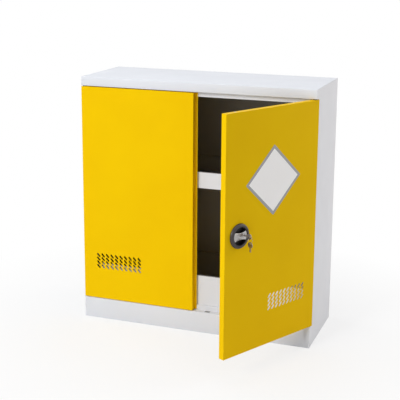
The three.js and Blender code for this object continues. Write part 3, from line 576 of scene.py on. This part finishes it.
# Rim faces get the lighter finish, a painted highlight; the bowl keeps the black.
for face in dish.faces:
    middle = face.calc_center_median()
    outside = math.hypot(middle.x, middle.z) > BOWL_R + RIM_MARGIN
    face.material_index = int(middle.y < -SEAM and outside)
finished("rosette_dish", dish, AT_HANDLE, "right_door", "black_moulding", ["handle_rosette"],
         [FINISH["black_moulding"], FINISH["charcoal_moulding"]])

# %% [markdown]
# ## The bow-tie grip
#
# The grip is a casting nearly as wide as the bowl. Its ends follow the bowl's circle, and its
# long sides are hollowed for finger and thumb. A disc with two large discs cut away gives
# exactly that outline, and a bevel on every edge gives the highlight that runs along the real
# one. The hub behind it and the bore for the lock's cylinder come after the bevel.

# %% Grip
GRIP_R, GRIP_WAIST, HOLLOW_R = 31, 24, 78.8
GRIP_FRONT, HUB_END, CYLINDER_R = -7.5, 11.5, 8
GRIP_EDGE, GRIP_STEPS, HOLLOW_STEPS = 1.5, 96, 128
OVERRUN, HUB_OVERLAP = 5, 1
hollows = [disc(HOLLOW_R, GRIP_FRONT - OVERRUN, GRIP_BACK + OVERRUN,
                (0, side * (GRIP_WAIST / 2 + HOLLOW_R)), HOLLOW_STEPS) for side in (-1, 1)]
grip = combined(disc(GRIP_R, GRIP_FRONT, GRIP_BACK, steps=GRIP_STEPS), "DIFFERENCE", *hollows)
grip = eased(grip, GRIP_EDGE, 4)
grip = combined(grip, "UNION", disc(HUB_R, GRIP_BACK - HUB_OVERLAP, HUB_END))
grip = combined(grip, "DIFFERENCE", disc(
    CYLINDER_R + SEAM, GRIP_FRONT - OVERRUN, GRIP_BACK + OVERRUN, (KEY_OFFSET.x, 0)))
finished("grip_bow_tie", grip, AT_HANDLE, "handle", "satin_chrome", ["handle_grip"])

# %% [markdown]
# ## The cylinder lock
#
# A small cylinder lock sits in the grip's end. Its collar and its plug are both turned, with a
# rounded front edge. The plug has the keyway cut into it, and it rides with the key.

# %% Cylinder and plug
COLLAR_FACE, PLUG_R, STUD_R, STUD_END = -8.3, 5.5, 2.5, 5.2
KEY_THICK, BLADE_TALL, KEYWAY_END = 2.2, 6.4, 2.7
COLLAR_EDGE, PLUG_EDGE, LOCK_STEPS = 0.5, 0.4, 64
collar = turned([
    (PLUG_R + SEAM, GRIP_BACK), (PLUG_R + SEAM, COLLAR_FACE), (CYLINDER_R, COLLAR_FACE),
    (CYLINDER_R, GRIP_BACK), (PLUG_R + SEAM, GRIP_BACK)], LOCK_STEPS, round_mm=COLLAR_EDGE)
finished("cylinder_collar", collar, AT_KEY, "handle", "satin_chrome", ["lock_cylinder"])
plug = turned([
    (0, COLLAR_FACE), (PLUG_R, COLLAR_FACE), (PLUG_R, GRIP_BACK), (STUD_R, GRIP_BACK),
    (STUD_R, STUD_END), (0, STUD_END)], LOCK_STEPS, round_mm=PLUG_EDGE)
keyway = block((-KEY_THICK / 2 - SEAM, COLLAR_FACE - OVERRUN, -BLADE_TALL / 2 - SEAM),
               (KEY_THICK / 2 + SEAM, KEYWAY_END, BLADE_TALL / 2 + SEAM))
finished("plug_with_keyway", combined(plug, "DIFFERENCE", keyway), AT_KEY, "key",
         "satin_chrome", ["cylinder_plug"])

# %% [markdown]
# ## The keys
#
# A flat key is stamped from nickel silver: a round bow with a hole, and a blade with a milled
# groove and cuts along one edge. The stamping is built from a disc and a block. The hole, the
# point, the cuts, the groove and the bow's coined hollow are taken out of it, and its edges
# are eased as tumbling leaves them. Both keys are the same stamping.

# %% Key sizes
BOW_R, HOLE_R, HOLE_INSET = 10.5, 2.6, 4.6
BLADE_LONG, BLADE_SHOWN = 21, 10.3
CUT_COUNT, CUT_WIDE, CUT_DEEP, CUT_PITCH = 4, 2.4, 1.4, 3.6
GROOVE_LOW, GROOVE_HIGH, GROOVE_DEEP, GROOVE_RUN_IN = -1.2, 0.2, 0.5, 1
COIN_DEEP, COIN_RIM, COIN_OFFSET = 0.25, 2.4, 1.6
BOW_STEPS, KEY_EDGE = 64, 0.18
BOW_Y = BOW_R - HOLE_INSET
KEY_TIP = BOW_Y + BOW_R + BLADE_LONG


def across_key(radius, thick, y, x=0.0, steps=48):
    """A short rod across the key's flat sides, centred at y along the key."""
    bm = bmesh.new()
    turn = Matrix.Translation((x, y, 0)) @ Matrix.Rotation(math.pi / 2, 4, "Y")
    bmesh.ops.create_cone(bm, cap_ends=True, segments=steps, radius1=radius, radius2=radius,
                          depth=thick, matrix=turn)
    return bm


print("key length in millimetres:", round(KEY_TIP + HOLE_INSET, 1))

# %% Key cutters
def tip_cutters():
    """Two blocks that slope the blade's end from both edges to a point."""
    reach = KEY_THICK / 2 + OVERRUN
    cutters = []
    for side in (-1, 1):
        wedge = block((-reach, -BLADE_TALL, 0), (reach, BLADE_TALL, BLADE_TALL))
        lean = Matrix.Translation((0, KEY_TIP, 0)) @ Matrix.Rotation(side * math.pi / 4, 4, "X")
        if side < 0:
            lean = lean @ Matrix.Scale(-1, 4, (0, 0, 1))
        bmesh.ops.transform(wedge, matrix=lean, verts=wedge.verts)
        bmesh.ops.recalc_face_normals(wedge, faces=wedge.faces)
        cutters.append(wedge)
    return cutters


def edge_cutters():
    """Blocks on their edge, one for each cut along the blade."""
    reach = KEY_THICK / 2 + OVERRUN
    cutters = []
    for i in range(CUT_COUNT):
        y = KEY_TIP - BLADE_TALL / 2 - (i + 1) * CUT_PITCH
        tooth = block((-reach, -CUT_WIDE, -CUT_WIDE), (reach, CUT_WIDE, CUT_WIDE))
        lean = (Matrix.Translation((0, y, BLADE_TALL / 2 - CUT_DEEP + CUT_WIDE * math.sqrt(2)))
                @ Matrix.Rotation(math.pi / 4, 4, "X"))
        bmesh.ops.transform(tooth, matrix=lean, verts=tooth.verts)
        cutters.append(tooth)
    return cutters


samples = tip_cutters() + edge_cutters()
print("cutters for one key:", len(samples))
for sample in samples:
    sample.free()

# %% Keys
def key_blank():
    """A key with its hole's centre at the origin and its blade along +y."""
    half = KEY_THICK / 2
    blade = block((-half, BOW_Y, -BLADE_TALL / 2), (half, KEY_TIP, BLADE_TALL / 2))
    bm = combined(across_key(BOW_R, KEY_THICK, BOW_Y, steps=BOW_STEPS), "UNION", blade)
    tools = [across_key(HOLE_R, KEY_THICK + OVERRUN, 0)] + tip_cutters() + edge_cutters()
    for side in (-half, half):
        tools.append(block((side - GROOVE_DEEP, BOW_Y + BOW_R - GROOVE_RUN_IN, GROOVE_LOW),
                           (side + GROOVE_DEEP, KEY_TIP + OVERRUN, GROOVE_HIGH)))
        tools.append(across_key(BOW_R - COIN_RIM, 2 * COIN_DEEP, BOW_Y + COIN_OFFSET, x=side))
    return eased(combined(bm, "DIFFERENCE", *tools), KEY_EDGE, 2)


KEY_HOLE_Y = COLLAR_FACE - (2 * BOW_R - HOLE_INSET + BLADE_SHOWN)
RING_R, RING_WIRE, RING_DROP = 10.5, 0.8, 1.1
finished("key_in_lock", key_blank(), AT_KEY @ Matrix.Translation((0, KEY_HOLE_Y, 0)), "key",
         "nickel_silver", ["lock_key"])
spare_z = -RING_DROP - 2 * RING_R - (HOLE_R - RING_WIRE - SEAM)
hanging = (AT_KEY @ Matrix.Translation((0, KEY_HOLE_Y, spare_z))
           @ Matrix.Rotation(-math.pi / 2, 4, "X"))
finished("key_on_ring", key_blank(), hanging, "spare_keys", "nickel_silver", ["spare_key"])

# %% [markdown]
# ## The split ring
#
# The ring is spring wire wound twice and pressed flat, so that a key can be threaded on. Here
# a small circle of wire is spun through two whole turns while it moves sideways by one wire
# thickness, and its two open ends are filled.

# %% Split ring
TURNS, STEPS_PER_TURN, WIRE_SIDES = 2, 48, 12
ring = bmesh.new()
bmesh.ops.create_circle(ring, segments=WIRE_SIDES, radius=RING_WIRE / 2,
                        matrix=Matrix.Translation((RING_R, -RING_WIRE / 2, 0)))
bmesh.ops.spin(ring, geom=ring.verts[:] + ring.edges[:], cent=(0, 0, 0), axis=(0, 1, 0),
               dvec=(0, RING_WIRE / (TURNS * STEPS_PER_TURN), 0),
               angle=2 * math.pi * TURNS, steps=TURNS * STEPS_PER_TURN)
bmesh.ops.holes_fill(ring, edges=[e for e in ring.edges if e.is_boundary])
finished("split_ring", ring, AT_KEY @ Matrix.Translation((0, KEY_HOLE_Y, -RING_DROP - RING_R)),
         "spare_keys", "nickel_silver", ["key_ring"])

# %% [markdown]
# ## The keeper grommets
#
# When the handle turns, one rod enters a slot in the ledge below the doors and another one a
# slot in the sheet above them. The bare edge of a sheet would scrape the rod, so each slot is
# lined with a grey nylon grommet: a short rectangular sleeve with a thin flange. Both parts of
# it are blocks, a third block opens it, and its edges are eased a little.

# %% Keeper grommets
ROD_X, ROD_DEPTH = 56.125, 14.3
LEDGE_TOP, LOWER_TOP_SHEET = 85, 964
SLOT_HALF_WIDE, SLOT_HALF_DEEP = 8, 5.5
SLEEVE_WALL, SLEEVE_LONG, SLEEVE_PLAY = 1, 4, 0.1
FLANGE_WIDE, FLANGE_THICK, GROMMET_EDGE = 2.4, 0.8, 0.2


def around_rod(grow, low, high):
    """A block round the rod's centre line, grown beyond the slot on all sides."""
    wide, deep = SLOT_HALF_WIDE + grow, SLOT_HALF_DEEP + grow
    return block((ROD_X - wide, ROD_DEPTH - deep, low), (ROD_X + wide, ROD_DEPTH + deep, high))


for name, sheet_face, inward in (("ledge_grommet", LEDGE_TOP, -1),
                                 ("top_grommet", LOWER_TOP_SHEET, 1)):
    sleeve = around_rod(-SLEEVE_PLAY, *sorted((sheet_face, sheet_face + inward * SLEEVE_LONG)))
    flange = around_rod(FLANGE_WIDE, *sorted((sheet_face, sheet_face - inward * FLANGE_THICK)))
    opening = around_rod(-SLEEVE_WALL, sheet_face - OVERRUN, sheet_face + OVERRUN)
    grommet = combined(combined(sleeve, "UNION", flange), "DIFFERENCE", opening)
    finished(name, eased(grommet, GROMMET_EDGE, 2), CABINET, "carcass", "black_nylon",
             finishes=[FINISH["grey_nylon"]])

# %% [markdown]
# ## The label field's two finishes
#
# A label is printed on cast vinyl film and laminated with a clear one, so it is smooth and
# glossy, with the faint waviness of the sheet that it is stuck to. Plain white film and a
# plain grey border are two finishes. Vinyl's IOR is about 1.53, close to nylon's, and the
# laminate is a clear coat that mirrors the white studio on top of it.

# %% Vinyl film
VINYL_WAVE_MM, AGEING_MM = 30, 60
VINYL_WAVE_RELIEF_MM, WAVE_STRENGTH = 0.05, 0.2
VINYL_ROUGH = (0.26, 0.36)
VINYL_IOR, VINYL_MIRROR, LAMINATE_ROUGH = 1.53, 0.8, 0.12


def vinyl_film(name, colour, aged_colour):
    """Glossy film with a slight wave and hardly any change of shade."""
    finish, tree, place = new_finish(name)
    age = add_node(tree, "ShaderNodeTexNoise", inputs={
        "Vector": place, "Scale": 1 / (AGEING_MM * MM)})
    shade = add_node(tree, "ShaderNodeMix", {"data_type": "RGBA"}, {
        "Factor": age.outputs["Fac"], 6: linear(colour), 7: linear(aged_colour)})
    wave = add_node(tree, "ShaderNodeTexNoise", inputs={
        "Vector": place, "Scale": 1 / (VINYL_WAVE_MM * MM)})
    gloss = add_node(tree, "ShaderNodeMapRange", inputs={
        "Value": wave.outputs["Fac"], "To Min": VINYL_ROUGH[0], "To Max": VINYL_ROUGH[1]})
    ripple = add_node(tree, "ShaderNodeBump", inputs={
        "Height": wave.outputs["Fac"], "Distance": VINYL_WAVE_RELIEF_MM * MM,
        "Strength": WAVE_STRENGTH})
    shader = add_node(tree, "ShaderNodeBsdfPrincipled", inputs={
        "Base Color": shade.outputs[2], "Roughness": gloss.outputs["Result"],
        "Normal": ripple.outputs["Normal"], "IOR": VINYL_IOR,
        "Specular IOR Level": VINYL_MIRROR, "Coat Weight": 1.0,
        "Coat Roughness": LAMINATE_ROUGH})
    add_node(tree, "ShaderNodeOutputMaterial", inputs={"Surface": shader.outputs["BSDF"]})
    return finish


LABEL_FINISHES = [vinyl_film("white_vinyl_film", "#fcfcfc", "#f9f9f9"),
                  vinyl_film("grey_vinyl_border", "#8f9194", "#898b8e")]
print("label finishes:", [finish.name for finish in LABEL_FINISHES])

# %% [markdown]
# ## A blank label field
#
# The door carries a diamond of film above the handle. Here it is left blank, as a field for
# the owner's own label. It is one thin plate: a square with a diagonal of 1, set on its point
# and stretched to the film's width and height. Its border is inset from its edge, its corners
# are rounded, and it is then extruded by the film's thickness.

# %% Label field
LABEL_CENTRE = Vector((240, 0, 700))
LABEL_WIDE, LABEL_TALL = 280, 256
LABEL_CORNER, LABEL_BORDER, LABEL_THICK = 2, 14.5, 0.35
HALF_SIDE = 1 / math.sqrt(8)
label = bmesh.new()
bmesh.ops.create_grid(label, x_segments=1, y_segments=1, size=HALF_SIDE,
                      matrix=Matrix.Diagonal((LABEL_WIDE, 1, LABEL_TALL, 1))
                      @ Matrix.Rotation(math.pi / 4, 4, "Y")
                      @ Matrix.Rotation(math.pi / 2, 4, "X"))
border = bmesh.ops.inset_region(label, faces=label.faces[:], thickness=LABEL_BORDER, depth=0,
                                use_boundary=True)
for face in border["faces"]:
    face.material_index = 1
bmesh.ops.bevel(label, geom=[v for v in label.verts if v.is_boundary], offset=LABEL_CORNER,
                segments=6, profile=0.5, affect="VERTICES", clamp_overlap=True, material=-1)
extruded = bmesh.ops.extrude_face_region(label, geom=label.faces[:], use_keep_orig=True)
back_verts = [part for part in extruded["geom"] if isinstance(part, bmesh.types.BMVert)]
bmesh.ops.translate(label, verts=back_verts, vec=(0, LABEL_THICK, 0))
lift = Matrix.Translation(LABEL_CENTRE - Vector((0, LABEL_THICK, 0)))
finished("blank_label_field", label, RIGHT_DOOR @ lift, "right_door", "light_grey_coat",
         finishes=LABEL_FINISHES)

# %% [markdown]
# ## The floor
#
# The cabinet stands on a plain pale floor. For the light it is an ordinary matt surface. For
# the camera, white is blended in: near the cabinet enough matt is left to show its shadow, and
# further out the floor fades into pure white, so that no horizon shows. Mirror-like reflections
# see the same white floor as the camera does, which is why the light path node also asks about
# glossy and transmission rays.

# %% Floor
FLOOR_HALF, FADE_START, FADE_END = 12, 0.5, 1.3
NEAR_WHITENESS = 0.7


def seen_directly(tree):
    """1 for camera, glossy and transmission rays, otherwise 0."""
    path = add_node(tree, "ShaderNodeLightPath")
    mirrored = add_node(tree, "ShaderNodeMath", {"operation": "MAXIMUM"}, {
        0: path.outputs["Is Glossy Ray"], 1: path.outputs["Is Transmission Ray"]})
    either = add_node(tree, "ShaderNodeMath", {"operation": "MAXIMUM"}, {
        0: path.outputs["Is Camera Ray"], 1: mirrored.outputs[0]})
    return either.outputs[0]


floor_finish, floor_tree, floor_place = new_finish("pale_studio_floor")
away = add_node(floor_tree, "ShaderNodeVectorMath", {"operation": "LENGTH"}, {0: floor_place})
fade = add_node(floor_tree, "ShaderNodeMapRange", inputs={
    "Value": away.outputs["Value"], "From Min": FADE_START, "From Max": FADE_END,
    "To Min": NEAR_WHITENESS, "To Max": 1.0})
whiteness = add_node(floor_tree, "ShaderNodeMath", {"operation": "MULTIPLY"}, {
    0: fade.outputs["Result"], 1: seen_directly(floor_tree)})
matt = add_node(floor_tree, "ShaderNodeBsdfPrincipled", inputs={
    "Base Color": linear("#f2f2f2"), "Roughness": 0.9, "Specular IOR Level": 0.1})
white = add_node(floor_tree, "ShaderNodeEmission", inputs={"Strength": 1.0})
blend = add_node(floor_tree, "ShaderNodeMixShader", inputs={
    0: whiteness.outputs[0], 1: matt.outputs["BSDF"], 2: white.outputs["Emission"]})
add_node(floor_tree, "ShaderNodeOutputMaterial", inputs={"Surface": blend.outputs[0]})
floor_bm = bmesh.new()
bmesh.ops.create_grid(floor_bm, x_segments=1, y_segments=1, size=FLOOR_HALF)
floor = bpy.data.objects.new("studio_floor", mesh_of(floor_bm, "studio_floor"))
bpy.context.scene.collection.objects.link(floor)
floor.data.materials.append(floor_finish)
print("floor fades to white between", FADE_START, "and", FADE_END, "metres")

# %% [markdown]
# ## The sky and the lamps
#
# The world is white for the camera and an even, weaker grey for everything that it lights. The
# key lamp stands low in front, a little to the left: it leaves the thin shadow of the top's
# lip on the left door, and the open door's shadow on the plinth. A wide lamp overhead
# brightens the top and the ledges. A weaker, slightly warm one behind the right side lights
# that side and the open door's face, and another one on the left lights the left side and
# the back, for the views that go round the cabinet.

# %% World
SKY, SKY_COLOUR = 0.22, "#f6f8ff"
world = bpy.data.worlds.new("studio_world")
bpy.context.scene.world = world
world.use_nodes = True
world_tree = world.node_tree
world_tree.nodes.clear()
sky = add_node(world_tree, "ShaderNodeBackground", inputs={
    "Color": linear(SKY_COLOUR), "Strength": SKY})
backdrop = add_node(world_tree, "ShaderNodeBackground", inputs={
    "Color": (1, 1, 1, 1), "Strength": 1.0})
world_mix = add_node(world_tree, "ShaderNodeMixShader", inputs={
    0: seen_directly(world_tree), 1: sky.outputs[0], 2: backdrop.outputs[0]})
add_node(world_tree, "ShaderNodeOutputWorld", inputs={"Surface": world_mix.outputs[0]})
print("sky strength:", SKY)

# %% Lamps
AIM = Vector((0, 0, 0.5))
WARM_WHITE = "#fff6ec"


def soft_lamp(name, from_left, elevation, distance, size, watts, colour="#ffffff"):
    """A square area lamp at compass angles round the aim point, 0 degrees being the front."""
    data = bpy.data.lights.new(name, "AREA")
    data.shape, data.size, data.energy = "SQUARE", size, watts
    data.color = linear(colour)[:3]
    lamp = bpy.data.objects.new(name, data)
    swing, rise = math.radians(from_left), math.radians(elevation)
    away = Vector((-math.sin(swing) * math.cos(rise), -math.cos(swing) * math.cos(rise),
                   math.sin(rise))) * distance
    lamp.location = AIM + away
    lamp.rotation_euler = (-away).to_track_quat("-Z", "Y").to_euler()
    bpy.context.scene.collection.objects.link(lamp)


soft_lamp("key_lamp", 20, 26, 5.5, 1.6, 160)
soft_lamp("overhead_lamp", 0, 86, 3.0, 3.0, 45)
soft_lamp("side_lamp", -120, 15, 4.0, 2.0, 53, WARM_WHITE)
soft_lamp("left_lamp", 108, 20, 4.5, 2.0, 50)

# %% View settings
bpy.context.scene.view_settings.view_transform = "Standard"
